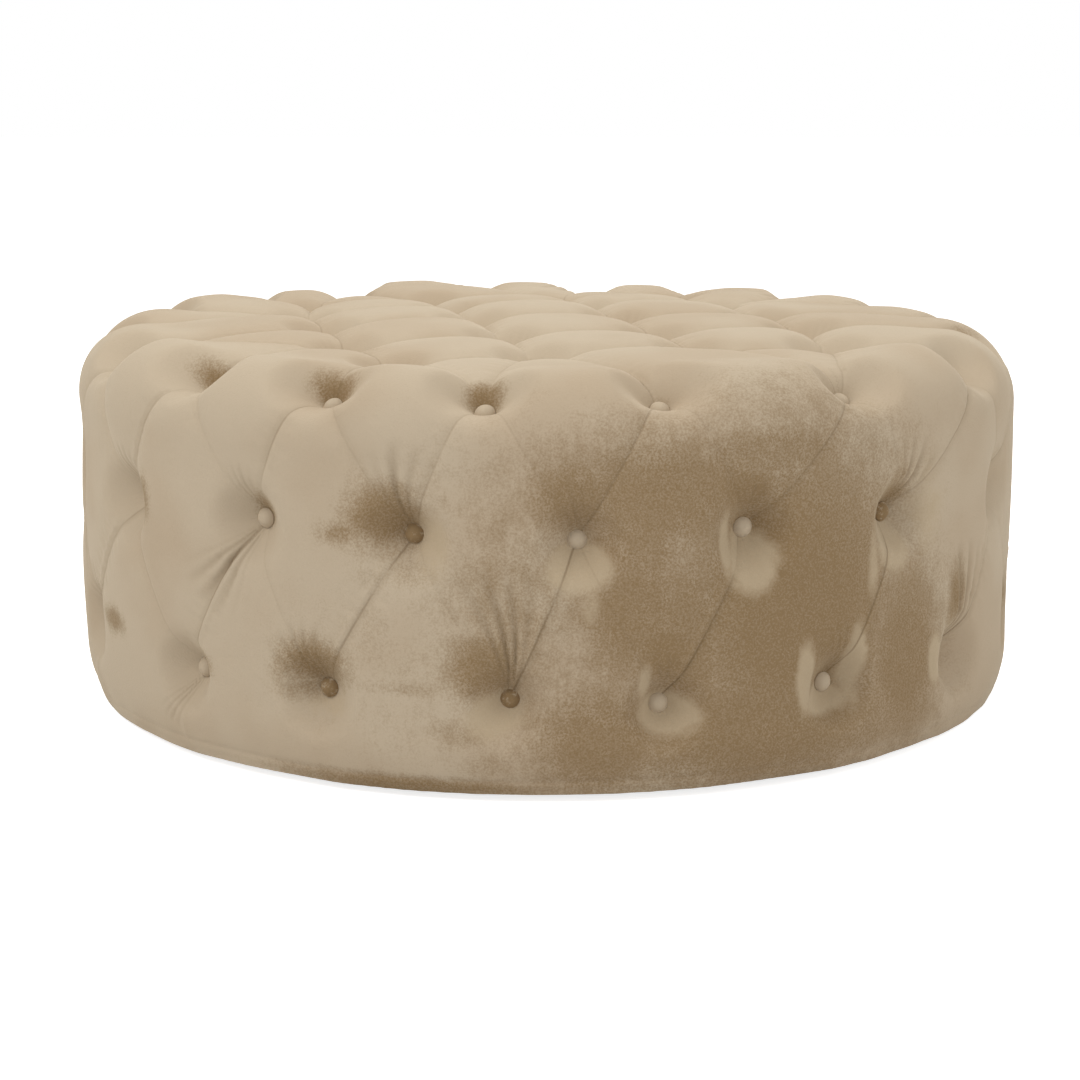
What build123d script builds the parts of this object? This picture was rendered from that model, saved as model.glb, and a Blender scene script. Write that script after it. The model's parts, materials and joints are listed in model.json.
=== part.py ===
from build123d import *
from math import cos, pi, radians, sin
import os

# A large round pouf without legs, deep buttoned all over. A plywood drum carries foam,
# a fibre layer and a velvet cover, and twine pulls each covered button down into it.
# Z is up and the floor is at zero. The front is -Y, and angles run from the front
# towards +X. Sizes are in millimetres.

# Overall form of the upholstery
pouf_diameter = 1066.0
hem_diameter = 1042.0
rim_height = 407.0
centre_rise = 11.0
rim_rounding = 80.0
hem_rounding = 53.0

# Rows of buttons round the side, with heights above the hem
side_columns = 18
first_column_angle = 13.75
rim_button_turn = 62.0
upper_button_height = 249.0
lower_button_height = 87.0
side_button_depth = 26.0
rim_button_depth = 33.0

# Each visible button sits a little off its regular place, as hand work does
rim_row_offsets = (-0.5, 4.0, 7.7, 6.5, 5.0, 3.5, 2.0, 1.0, 0.0,
                   -0.5, 0.4, -0.3, 0.5, -0.4, 0.6, 1.1, 0.2, -0.9)
upper_row_offsets = (-1.7, -1.7, 1.5, 2.5, 2.0, 1.0, -0.5, 0.6, -0.8,
                     0.5, -0.6, 0.4, -0.3, 0.5, 1.1, 2.8, 1.6, -0.5)
lower_row_offsets = (-1.4, -0.5, 0.5, 1.0, 0.8, -0.5, 0.7, -0.6, 0.5,
                     -0.9, 0.6, -0.4, 0.8, -0.7, -2.4, 2.0, 1.0, 2.2)
rim_row_lift_shares = (0.14, -0.22, -0.29, 0.07, 0.0, -0.08, 0.07, 0.0, 0.05,
                       -0.07, 0.0, 0.08, -0.05, 0.0, 0.07, 0.09, -0.01, -0.04)
upper_row_lift_shares = (0.01, 0.0, 0.0, 0.02, -0.02, 0.0, 0.02, 0.0, -0.02,
                         0.02, 0.0, -0.02, 0.01, 0.0, 0.0, 0.01, 0.0, -0.01)
lower_row_lift_shares = (-0.04, -0.02, -0.03, 0.0, 0.05, -0.04, 0.0, 0.05, 0.0,
                         -0.05, 0.04, 0.0, -0.04, 0.03, 0.07, -0.03, 0.02, 0.04)

# Square lattice of buttons on the top, turned to the left seen from above
lattice_turn = 13.75
lattice_column_pitch = 171.0
lattice_row_pitch = 155.0
lattice_columns = 4
lattice_rows = 5
outer_row_place = 296.0
corner_column_place = 232.0
top_button_depth = 38.0

# Depth of the pleats below the crowns of the puffs
pleat_depth = 17.0
side_pleat_depth = 9.0
valley_depth = 15.0
top_pad_radius = 428.0
pad_edge_rounding = 46.0
pad_arc_share = 0.35
pad_rise_share = 0.62
pad_joint_share = 0.25
hem_pleat_depth = 3.0
crown_sink = 2.0

# Covered buttons, twine and washers
button_diameter = 19.8
button_height = 8.0
button_wall = 1.2
button_back_thickness = 1.0
button_shank_diameter = 4.0
button_shank_length = 2.5
button_clearance = 0.4
button_skirt_share = 0.3
twine_diameter = 2.0
tie_hole_diameter = 6.0
knot_diameter = 5.0
knot_thickness = 3.0
washer_diameter = 14.0
washer_bore = 2.6
washer_thickness = 1.5
washer_wall_gap = 0.1

# Plywood drum
wall_radius = 416.0
wall_thickness = 5.0
wall_joint_gap = 1.0
deck_thickness = 15.0
deck_top_height = 304.8
rim_tie_radius = 398.0
base_ring_radius = 510.0
base_ring_bore_radius = 345.0
base_ring_thickness = 18.0
post_width = 34.0
post_columns = (0, 3, 6, 9, 12, 15)
stretcher_width = 44.0
stretcher_thickness = 22.0
stretcher_length = 660.0
stretcher_screw_shares = (-0.42, -0.14, 0.14, 0.42)

# Padding
top_foam_thickness = 48.0
side_foam_thickness = 50.0
wadding_thickness = 6.0
soft_gap = 0.3

# Cover flange, dust cover and glides under the drum
flange_inner_radius = 462.0
flange_thickness = 2.8
dust_cover_radius = 503.0
dust_cover_thickness = 0.8
glides = 6
glide_height = 8.0
glide_diameter = 32.0
glide_foot_diameter = 26.0
glide_circle_radius = 478.0
glide_nail_diameter = 3.0
glide_nail_length = 22.0
glide_nail_head_diameter = 7.0
glide_nail_head_depth = 2.0

# Screws and staples
screw_diameter = 4.5
screw_head_diameter = 9.0
screw_length = 45.0
stretcher_screw_length = 32.0
screw_clearance = 0.1
screw_slot_length = 5.0
screw_slot_width = 1.2
staple_crown = 11.0
staple_wire = 1.2
staple_leg = 9.0
staple_clearance = 0.1
cover_staple_circle_radius = 469.0
cover_staples = 36
dust_staple_circle_radius = 494.0
dust_staples = 24

# Levels and radii that follow from the sizes above
hem_level = glide_height + dust_cover_thickness
pouf_radius = pouf_diameter / 2
hem_inset = (pouf_diameter - hem_diameter) / 2
side_length = rim_height - rim_rounding
base_bottom = hem_level + flange_thickness
base_top = base_bottom + base_ring_thickness
deck_bottom = deck_top_height - deck_thickness
side_foam_inner = wall_radius + soft_gap
side_foam_outer = side_foam_inner + side_foam_thickness
top_foam_bottom = deck_top_height + soft_gap
top_foam_top = top_foam_bottom + top_foam_thickness
wadding_inner = side_foam_outer + soft_gap
wadding_outer = wadding_inner + wadding_thickness
wadding_bottom = base_top + soft_gap
wadding_top = top_foam_top + soft_gap + wadding_thickness
cover_inner_top = wadding_top + soft_gap
seat_clearance = soft_gap
side_seat_depth = side_button_depth + button_height + seat_clearance
rim_seat_depth = rim_button_depth + button_height + seat_clearance
top_seat_depth = top_button_depth + button_height + seat_clearance
column_pitch = 360 / side_columns
hole_radius = tie_hole_diameter / 2
well_radius = button_diameter / 2 + button_clearance
well_height = max(side_seat_depth, top_seat_depth) + centre_rise


def save(piece, name):
    """Label a finished piece and write it as its own file."""
    piece.part.label = name
    export_step(piece.part, "parts/" + name + ".step")


def crown_line(travel, depth):
    """Radius and height at a travel up from the hem along the crown line, sunk by a depth."""
    if travel <= side_length:
        undercut = hem_inset * max(0, 1 - travel / hem_rounding) ** 2
        return (pouf_radius - undercut - depth, hem_level + travel)
    turn = (travel - side_length) / rim_rounding
    if turn <= pi / 2:
        sunk = rim_rounding - depth
        return (pouf_radius - rim_rounding + sunk * cos(turn), hem_level + side_length + sunk * sin(turn))
    across = travel - side_length - rim_rounding * pi / 2
    return (pouf_radius - rim_rounding - across, hem_level + rim_height - depth)


def around(angle, radius, height=0):
    """Point at an angle from the front, a radius and a height."""
    return Vector(radius * sin(radians(angle)), -radius * cos(radians(angle)), height)


def blend(start, end, share):
    """Value a share of the way from a start to an end."""
    return start + (end - start) * share


# Travel along the crown line, and angle, of every button in the three side rows
rim_travel = side_length + rim_rounding * radians(rim_button_turn)
pad_travel = side_length + rim_rounding * pi / 2 + pouf_radius - rim_rounding - top_pad_radius
rim_angles = []
upper_angles = []
lower_angles = []
rim_travels = []
upper_travels = []
lower_travels = []
for column in range(side_columns):
    regular = first_column_angle + column * column_pitch
    rim_angles.append(regular + rim_row_offsets[column])
    upper_angles.append(regular + column_pitch / 2 + upper_row_offsets[column])
    lower_angles.append(regular + lower_row_offsets[column])
    rim_travels.append(rim_travel + rim_row_lift_shares[column] * rim_button_depth)
    upper_travels.append(upper_button_height + upper_row_lift_shares[column] * upper_button_height)
    lower_travels.append(lower_button_height + lower_row_lift_shares[column] * lower_button_height)


# The steps between the side's sections leave flats inside the cover, so its inner radii grow
column_gaps = []
for column in range(side_columns):
    for row_angles in (rim_angles, lower_angles):
        turned = 360 * ((column + 1) // side_columns)
        column_gaps.append(upper_angles[column] - row_angles[column])
        column_gaps.append(row_angles[(column + 1) % side_columns] + turned - upper_angles[column])
facet_growth = 1 / cos(radians(max(column_gaps) / 4))
cover_inner_radius = (wadding_outer + soft_gap) * facet_growth
cover_base_radius = (base_ring_radius + soft_gap) * facet_growth


def row_place(row):
    """Place of a row of the top lattice, counted from the front."""
    if row in (0, lattice_rows - 1):
        return outer_row_place if row else -outer_row_place
    return (row - (lattice_rows - 1) / 2) * lattice_row_pitch


def row_columns(row):
    """Places of the buttons along a row, drawn in at the lattice's corners."""
    half = (lattice_columns - 1) / 2
    places = [(step - half) * lattice_column_pitch for step in range(lattice_columns)]
    if row in (0, lattice_rows - 1):
        places[0] = -corner_column_place
        places[-1] = corner_column_place
    return places


def top_crown(across, along):
    """Height of the crowns on the top, at a place in the lattice's own directions."""
    share = (across ** 2 + along ** 2) / top_pad_radius ** 2
    return hem_level + rim_height + centre_rise * max(0, 1 - share)


def lattice_place(across, along, height=0):
    """Point of the top lattice in the pouf's directions."""
    turn = radians(lattice_turn)
    return Vector(across * cos(turn) - along * sin(turn), across * sin(turn) + along * cos(turn), height)


class Tie:
    """Seat of a button, the point where its twine enters the wood, and the way through."""

    def __init__(self, seat, knee, inward, wood):
        self.seat = seat
        self.knee = knee
        self.inward = inward
        self.exit = knee + inward * wood
        self.axis = (seat - knee).normalized()

    def seat_plane(self):
        """Plane in the seat, facing out along the button's axis."""
        return Plane(origin=self.seat, z_dir=self.axis)

    def exit_plane(self):
        """Plane on the inner face of the wood, facing inwards."""
        return Plane(origin=self.exit, z_dir=self.inward)


def rim_tie(column):
    """Tie of a button on the top edge, through the rim of the deck."""
    radius, height = crown_line(rim_travels[column], rim_seat_depth)
    angle = rim_angles[column]
    return Tie(around(angle, radius, height), around(angle, rim_tie_radius, deck_top_height),
               Vector(0, 0, -1), deck_thickness)


def side_tie(angle, travel):
    """Tie of a side button, through the wall."""
    radius, height = crown_line(travel, side_seat_depth)
    return Tie(around(angle, radius, height), around(angle, wall_radius, height),
               around(angle + 180, 1), wall_thickness + washer_wall_gap)


def top_ties():
    """Ties of the top lattice, straight down through the deck."""
    ties = []
    for row in range(lattice_rows):
        along = row_place(row)
        for across in row_columns(row):
            height = top_crown(across, along) - top_seat_depth
            ties.append(Tie(lattice_place(across, along, height),
                            lattice_place(across, along, deck_top_height),
                            Vector(0, 0, -1), deck_thickness))
    return ties


tie_rows = {
    "top_buttons": top_ties(),
    "rim_buttons": [rim_tie(column) for column in range(side_columns)],
    "upper_side_buttons": [side_tie(upper_angles[c], upper_travels[c]) for c in range(side_columns)],
    "lower_side_buttons": [side_tie(lower_angles[c], lower_travels[c]) for c in range(side_columns)],
}
deck_ties = tie_rows["top_buttons"] + tie_rows["rim_buttons"]
wall_ties = tie_rows["upper_side_buttons"] + tie_rows["lower_side_buttons"]
all_ties = deck_ties + wall_ties


def side_section(top_angle, bottom_angle, travels, depths):
    """Draw one upright section of the cover's side.

    travels and depths are of the five corners, from the valley on the top to the hem,
    with the middle of each arc between them.
    """
    middle = (top_angle + bottom_angle) / 2
    out = around(middle, 1)
    reach = pouf_radius - side_button_depth
    side_step = reach * sin(radians((top_angle - bottom_angle) / 2))
    top_z = crown_line(rim_travel, rim_button_depth)[1]
    bottom_z = hem_level + lower_button_height
    sideways = around(middle + 90, 1)
    rise = sideways * (2 * side_step) + Vector(0, 0, top_z - bottom_z)
    foot = sideways * (-side_step - 2 * side_step * bottom_z / (top_z - bottom_z))
    stretch = rise.length / (top_z - bottom_z)
    plane = Plane(origin=foot, x_dir=out, z_dir=out.cross(rise))

    def place(radius, height):
        return (radius, height * stretch)

    outline = []
    for travel, depth in zip(travels, depths):
        radius, height = crown_line(travel, depth)
        outline.append(place(radius, height))
    valley = outline[0]
    hem = outline[-1]
    with BuildSketch(plane) as section:
        with BuildLine():
            for start in range(0, len(outline) - 1, 2):
                ThreePointArc(outline[start], outline[start + 1], outline[start + 2])
            Polyline(hem, place(flange_inner_radius, hem_level),
                     place(flange_inner_radius, base_bottom - soft_gap),
                     place(cover_base_radius, base_bottom - soft_gap),
                     place(cover_base_radius, base_top + soft_gap),
                     place(cover_inner_radius, base_top + soft_gap),
                     place(cover_inner_radius, cover_inner_top),
                     place(valley[0] - pad_edge_rounding, cover_inner_top),
                     place(valley[0] - pad_edge_rounding,
                           crown_line(pad_travel, valley_depth)[1] - pad_edge_rounding * pad_joint_share),
                     valley)
        make_face()
    return section.sketch


# Share of the well's radius beyond which a section leaves an upper button's seat
seat_edge_share = 0.8

# Shares of the pleat's depth to which a section sinks: on a button column, half way, and
# on the next row's column
shoulder_turns = (80.0, 64.0, 50.0)
shoulder_sink_shares = (0.9, 0.35, 0.08)
valley_arc_sink_shares = (0.85, 0.4, 0.15)
rim_arc_sink_shares = (1.4, 0.1, 0.0)
hem_arc_sink_shares = (0.65, 0.15, 0.0)
hem_sink_shares = (1.0, 0.3, 0.0)


def column_section(top_angle, bottom_angle, stage, rim_at, upper_at, lower_at):
    """One side section: stage 0 on a rim button, 2 on an upper side button, 1 between."""
    share = stage / 2
    upper_edge = upper_at + well_radius * seat_edge_share
    lower_edge = upper_at - well_radius * seat_edge_share
    first = blend(rim_at, upper_edge, share)
    second = blend(lower_at, lower_edge, share)
    shoulder = side_length + rim_rounding * radians(shoulder_turns[stage])
    first_depth = (rim_seat_depth, side_pleat_depth, side_seat_depth)[stage]
    second_depth = (side_seat_depth, side_pleat_depth, side_seat_depth)[stage]
    diamond_depth = (0, crown_sink, side_seat_depth - crown_sink)[stage]
    travels = (pad_travel, (pad_travel + shoulder) / 2, shoulder, (shoulder + first) / 2, first,
               (first + second) / 2, second, second / 2, 0)
    depths = (valley_depth, pleat_depth * valley_arc_sink_shares[stage],
              pleat_depth * shoulder_sink_shares[stage], pleat_depth * rim_arc_sink_shares[stage],
              first_depth, diamond_depth, second_depth, side_pleat_depth * hem_arc_sink_shares[stage],
              hem_pleat_depth * hem_sink_shares[stage])
    return side_section(top_angle, bottom_angle, travels, depths)


def side_sections(first_column, last_column):
    """Sections of the cover's side from one button column to another."""
    sections = []
    for column in range(first_column, last_column + 1):
        here = column % side_columns
        turned = 360 * (column // side_columns)
        rim = rim_angles[here] + turned
        low = lower_angles[here] + turned
        heights = (rim_travels[here], upper_travels[here], lower_travels[here])
        if column > first_column:
            before = (rim_travels[here], upper_travels[here - 1], lower_travels[here])
            sections.append(column_section((rim + up) / 2, (low + up) / 2, 1, *before))
        sections.append(column_section(rim, low, 0, *heights))
        if column < last_column:
            up = upper_angles[here] + turned
            sections.append(column_section((rim + up) / 2, (low + up) / 2, 1, *heights))
            sections.append(column_section(up, up, 2, *heights))
    return sections


# Shares of a row's pitch at which the top's sections lie, from one row of buttons on
row_section_shares = (0, 0.28, 0.72)


def top_section(along, columns, on_buttons):
    """Draw one upright section of the top across the lattice's columns."""
    ends = (lattice_columns + 1) / 2 * lattice_column_pitch
    places = [-ends] + columns + [ends]
    inner_depth = top_seat_depth if on_buttons else pleat_depth
    depths = [pleat_depth] + [inner_depth] * lattice_columns + [pleat_depth]
    crown_depth = pleat_depth if on_buttons else 0
    corners = [(across, top_crown(across, along) - depth) for across, depth in zip(places, depths)]
    plane = Plane(origin=lattice_place(0, along), x_dir=lattice_place(1, 0),
                  z_dir=lattice_place(1, 0).cross(Vector(0, 0, 1)))
    with BuildSketch(plane) as section:
        with BuildLine():
            for left, right in zip(corners, corners[1:]):
                middle = (left[0] + right[0]) / 2
                ThreePointArc(left, (middle, top_crown(middle, along) - crown_depth), right)
            Polyline(corners[-1], (ends, cover_inner_top), (-ends, cover_inner_top), corners[0])
        make_face()
    return section.sketch


def make_cover_top():
    """Top of the cover: rows of puffs between the lattice's buttons, rounded down at the rim."""
    edge_row = outer_row_place + lattice_row_pitch
    sections = [top_section(-edge_row, row_columns(0), False)]
    for share in row_section_shares[1:]:
        sections.append(top_section(blend(-edge_row, row_place(0), share), row_columns(0), False))
    for row in range(lattice_rows):
        here = row_place(row)
        after = row_place(row + 1) if row < lattice_rows - 1 else edge_row
        next_columns = row_columns(min(row + 1, lattice_rows - 1))
        for share in row_section_shares:
            columns = [blend(*pair, share) for pair in zip(row_columns(row), next_columns)]
            sections.append(top_section(blend(here, after, share), columns, share == 0))
    sections.append(top_section(edge_row, row_columns(0), False))
    valley = crown_line(pad_travel, valley_depth)
    crown = top_crown(top_pad_radius - pad_edge_rounding, 0)
    edge = valley[0] + soft_gap
    shoulder = (edge - pad_edge_rounding * pad_arc_share, valley[1] + valley_depth * pad_rise_share)
    with BuildPart() as cover_top:
        loft(sections, ruled=True)
        with BuildSketch(Plane.XZ):
            with BuildLine():
                Line((0, cover_inner_top), (edge, cover_inner_top))
                Line((edge, cover_inner_top), (edge, valley[1]))
                ThreePointArc((edge, valley[1]), shoulder, (edge - pad_edge_rounding, crown))
                Line((edge - pad_edge_rounding, crown), (0, crown + 2 * centre_rise))
                Line((0, crown + 2 * centre_rise), (0, cover_inner_top))
            make_face()
        revolve(axis=Axis.Z, mode=Mode.INTERSECT)
    return cover_top


def staple_places(count, radius):
    """Planes of a ring of staples, each across the radius and facing up."""
    step = 360 / count
    return [Plane(origin=around((turn + 0.5) * step, radius), x_dir=around((turn + 0.5) * step + 90, 1),
                  z_dir=(0, 0, 1)) for turn in range(count)]


def glide_places():
    """Places of the glides, spaced evenly on their circle."""
    return [around(first_column_angle + turn * 360 / glides, glide_circle_radius) for turn in range(glides)]


def underside_cuts():
    """Pockets of both rings of staples, and holes of the glides' nails, up through what they hold."""
    with BuildPart() as cuts:
        for level, count, radius in ((hem_level, cover_staples, cover_staple_circle_radius),
                                     (glide_height - staple_wire, dust_staples, dust_staple_circle_radius)):
            for place in staple_places(count, radius):
                with Locations(place.offset(level - staple_clearance)):
                    Box(staple_crown + 2 * staple_clearance, staple_wire + 2 * staple_clearance,
                        staple_leg + 2 * staple_clearance, align=(Align.CENTER, Align.CENTER, Align.MIN))
        with Locations(*glide_places()):
            Cylinder(glide_nail_diameter / 2 + screw_clearance, glide_nail_length,
                     align=(Align.CENTER, Align.CENTER, Align.MIN))
    return cuts.part


def make_velvet_cover(cuts):
    """Velvet cover with its tufted puffs, open below and turned under the base ring."""
    cover_top = make_cover_top()
    half_way = side_columns // 2
    with BuildPart() as wells:
        with Locations(*[tie.seat_plane() for tie in all_ties]):
            Cylinder(well_radius, well_height, align=(Align.CENTER, Align.CENTER, Align.MIN))
            Cylinder(hole_radius, well_height, align=(Align.CENTER, Align.CENTER, Align.CENTER))
    with BuildPart() as cover:
        loft(side_sections(0, half_way), ruled=True)
        loft(side_sections(half_way, side_columns), ruled=True)
        add(cover_top.part)
        add([wells.part, cuts], mode=Mode.SUBTRACT)
    save(cover, "velvet_cover")


def pierce(rows):
    """Cut the runs of the twines, from the wood out to the buttons, through a layer of padding."""
    for row in rows:
        ties = tie_rows[row]
        longest = max((tie.seat - tie.knee).length for tie in ties)
        with Locations(*[Plane(origin=tie.knee, z_dir=tie.axis).offset(-hole_radius) for tie in ties]):
            Cylinder(hole_radius, longest + hole_radius, align=(Align.CENTER, Align.CENTER, Align.MIN),
                     mode=Mode.SUBTRACT)


def make_padding():
    """Foam slab on the deck, foam band round the wall and the fibre layer over both."""
    with BuildPart() as top_foam:
        with BuildSketch(Plane.XY.offset(top_foam_bottom)):
            Circle(side_foam_outer)
        extrude(amount=top_foam_thickness)
        pierce(("top_buttons", "rim_buttons"))
    save(top_foam, "top_foam")

    with BuildPart() as side_foam:
        with BuildSketch(Plane.XY.offset(base_top)):
            Circle(side_foam_outer)
            Circle(side_foam_inner, mode=Mode.SUBTRACT)
        extrude(amount=deck_top_height - base_top)
        pierce(("upper_side_buttons", "lower_side_buttons"))
    save(side_foam, "side_foam")

    with BuildPart() as wadding:
        with BuildSketch(Plane.XY.offset(wadding_bottom)):
            Circle(wadding_outer)
        extrude(amount=wadding_top - wadding_bottom)
        with BuildSketch(Plane.XY.offset(wadding_bottom)):
            Circle(wadding_inner)
        extrude(amount=wadding_top - wadding_thickness - wadding_bottom, mode=Mode.SUBTRACT)
        pierce(tie_rows)
    save(wadding, "fibre_wadding")


def post_angle(column):
    """Angle of a post, in the middle of the wider gap beside an upper button's tie."""
    after = (column + 1) % side_columns
    turned = 360 * ((column + 1) // side_columns)
    gaps = [(max(rim_angles[column], lower_angles[column]), upper_angles[column]),
            (upper_angles[column], min(rim_angles[after], lower_angles[after]) + turned)]
    start, end = max(gaps, key=lambda gap: gap[1] - gap[0])
    return (start + end) / 2


wall_bore = wall_radius - wall_thickness
post_face_radius = (wall_bore ** 2 - (post_width / 2) ** 2) ** 0.5 - soft_gap
post_radius = post_face_radius - post_width / 2
post_places = [around(post_angle(column), post_radius) for column in post_columns]


def stretcher_screw_places(height):
    """Places of the screws down through the deck into both stretchers."""
    return [lattice_place(side * lattice_column_pitch, share * stretcher_length, height)
            for side in (-1, 1) for share in stretcher_screw_shares]


def make_drum():
    """Plywood drum: base ring, posts, deck, stretchers and the bent wall in two halves."""
    deck_screw_places = [place + Vector(0, 0, deck_top_height) for place in post_places]
    with BuildPart() as deck:
        with BuildSketch(Plane.XY.offset(deck_bottom)):
            Circle(wall_radius)
            with Locations(*[(tie.exit.X, tie.exit.Y) for tie in deck_ties]):
                Circle(hole_radius, mode=Mode.SUBTRACT)
        extrude(amount=deck_thickness)
        with Locations(*deck_screw_places, *stretcher_screw_places(deck_top_height)):
            CounterSinkHole(screw_diameter / 2 + screw_clearance, screw_head_diameter / 2 + screw_clearance)
    save(deck, "top_deck")

    with BuildPart() as ring:
        with BuildSketch(Plane.XY.offset(base_bottom)):
            Circle(base_ring_radius)
            Circle(base_ring_bore_radius, mode=Mode.SUBTRACT)
        extrude(amount=base_ring_thickness)
        with Locations(*[Plane(origin=place + Vector(0, 0, base_bottom), z_dir=(0, 0, -1))
                         for place in post_places]):
            CounterSinkHole(screw_diameter / 2 + screw_clearance, screw_head_diameter / 2 + screw_clearance)
        add(underside, mode=Mode.SUBTRACT)
    save(ring, "base_ring")

    for number, column in enumerate(post_columns, start=1):
        foot = post_places[number - 1] + Vector(0, 0, base_top)
        height = deck_bottom - base_top
        pilot = screw_length - deck_thickness
        base_pilot = screw_length - base_ring_thickness
        with BuildPart() as post:
            with BuildSketch(Plane(origin=foot, x_dir=around(post_angle(column), 1), z_dir=(0, 0, 1))):
                Rectangle(post_width, post_width)
            extrude(amount=height)
            with Locations(foot + Vector(0, 0, height)):
                Cylinder(screw_diameter / 2 + screw_clearance, pilot + screw_clearance,
                         align=(Align.CENTER, Align.CENTER, Align.MAX), mode=Mode.SUBTRACT)
            with Locations(foot):
                Cylinder(screw_diameter / 2 + screw_clearance, base_pilot + screw_clearance,
                         align=(Align.CENTER, Align.CENTER, Align.MIN), mode=Mode.SUBTRACT)
        save(post, "post_" + str(number))

    for name, side in (("left_stretcher", -1), ("right_stretcher", 1)):
        with BuildPart() as stretcher:
            with BuildSketch(Plane(origin=lattice_place(side * lattice_column_pitch, 0, deck_bottom),
                                   x_dir=lattice_place(1, 0), z_dir=(0, 0, -1))):
                Rectangle(stretcher_width, stretcher_length)
            extrude(amount=stretcher_thickness)
            with Locations(*[place for place in stretcher_screw_places(deck_bottom)]):
                Cylinder(screw_diameter / 2 + screw_clearance,
                         stretcher_screw_length - deck_thickness + screw_clearance,
                         align=(Align.CENTER, Align.CENTER, Align.MAX), mode=Mode.SUBTRACT)
        save(stretcher, name)

    joint = Plane(origin=(0, 0, 0), z_dir=around(post_angle(post_columns[0]) + 90, 1))
    for name, side in (("right_wall", 1), ("left_wall", -1)):
        with BuildPart() as wall:
            with BuildSketch(Plane.XY.offset(base_top)):
                Circle(wall_radius)
                Circle(wall_bore, mode=Mode.SUBTRACT)
            extrude(amount=deck_bottom - base_top)
            with Locations(*[tie.exit_plane() for tie in wall_ties]):
                Cylinder(hole_radius, 3 * wall_thickness, mode=Mode.SUBTRACT)
            kept = Keep.TOP if side > 0 else Keep.BOTTOM
            split(bisect_by=joint.offset(side * wall_joint_gap / 2), keep=kept)
        save(wall, name)


def make_screw(length):
    """One countersunk wood screw, head up, with its head's face at the origin."""
    head_depth = (screw_head_diameter - screw_diameter) / 2
    with BuildPart() as screw:
        with BuildSketch(Plane.XZ):
            with BuildLine():
                Polyline((0, 0), (screw_head_diameter / 2, 0), (screw_diameter / 2, -head_depth),
                         (screw_diameter / 2, -length + screw_diameter), (0, -length), (0, 0))
            make_face()
        revolve(axis=Axis.Z)
        with BuildSketch():
            Rectangle(screw_slot_length, screw_slot_width)
            Rectangle(screw_slot_width, screw_slot_length)
        extrude(amount=-screw_slot_width, mode=Mode.SUBTRACT)
    return screw.part


def make_screws():
    """Screws of the deck, the base ring and the stretchers."""
    down = [Plane(origin=place + Vector(0, 0, deck_top_height)) for place in post_places]
    up = [Plane(origin=place + Vector(0, 0, base_bottom), z_dir=(0, 0, -1)) for place in post_places]
    across = [Plane(origin=place) for place in stretcher_screw_places(deck_top_height)]
    for name, places, length in (("deck_screws", down, screw_length), ("base_screws", up, screw_length),
                                 ("stretcher_screws", across, stretcher_screw_length)):
        screw = make_screw(length)
        with BuildPart() as screws:
            with Locations(*places):
                add(screw)
        save(screws, name)


def dome_radius(edge, rise):
    """Radius of the round dome that rises by this much over an edge of this radius."""
    return (edge ** 2 + rise ** 2) / (2 * rise)


def make_buttons():
    """Covered buttons by row: a domed cap over a back plate with its shank."""
    radius = button_diameter / 2
    inner = radius - button_wall
    skirt = button_height * button_skirt_share
    with BuildPart() as cap:
        for edge, top, mode in ((radius, button_height, Mode.ADD),
                                (inner, button_height - button_wall, Mode.SUBTRACT)):
            with BuildSketch(Plane.XZ):
                with BuildLine():
                    Polyline((0, top), (0, 0), (edge, 0), (edge, skirt))
                    RadiusArc((edge, skirt), (0, top), -dome_radius(edge, top - skirt))
                make_face()
            revolve(axis=Axis.Z, mode=mode)
    with BuildPart() as back:
        Cylinder(inner - screw_clearance, button_back_thickness,
                 align=(Align.CENTER, Align.CENTER, Align.MIN))
        Cylinder(button_shank_diameter / 2, button_shank_length + seat_clearance,
                 align=(Align.CENTER, Align.CENTER, Align.MAX))
    for name, ties in tie_rows.items():
        with BuildPart() as buttons:
            with Locations(*[tie.seat_plane().offset(seat_clearance) for tie in ties]):
                add(cap.part)
        save(buttons, name)
    with BuildPart() as backs:
        with Locations(*[tie.seat_plane().offset(seat_clearance) for tie in all_ties]):
            add(back.part)
    save(backs, "button_backs")


def twine_run(start, end):
    """Straight run of twine between two points."""
    return Plane(origin=start, z_dir=end - start) * Cylinder(
        twine_diameter / 2, (end - start).length, align=(Align.CENTER, Align.CENTER, Align.MIN))


def make_ties():
    """Twines with their knots, and the washers that they are tied over."""
    twines = []
    for tie in all_ties:
        start = tie.seat - tie.axis * button_shank_length
        knot_at = tie.exit + tie.inward * washer_thickness
        knot = Plane(origin=knot_at, z_dir=tie.inward) * Cylinder(
            knot_diameter / 2, knot_thickness, align=(Align.CENTER, Align.CENTER, Align.MIN))
        bend = Pos(tie.knee) * Sphere(twine_diameter / 2)
        twines.append(twine_run(start, tie.knee) + bend + twine_run(tie.knee, knot_at) + knot)
    with BuildPart() as twine:
        add(twines)
    save(twine, "tufting_twine")
    with BuildPart() as washers:
        with Locations(*[tie.exit_plane() for tie in all_ties]):
            Cylinder(washer_diameter / 2, washer_thickness, align=(Align.CENTER, Align.CENTER, Align.MIN))
            Cylinder(washer_bore / 2, 3 * washer_thickness, mode=Mode.SUBTRACT)
    save(washers, "tie_washers")


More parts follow.
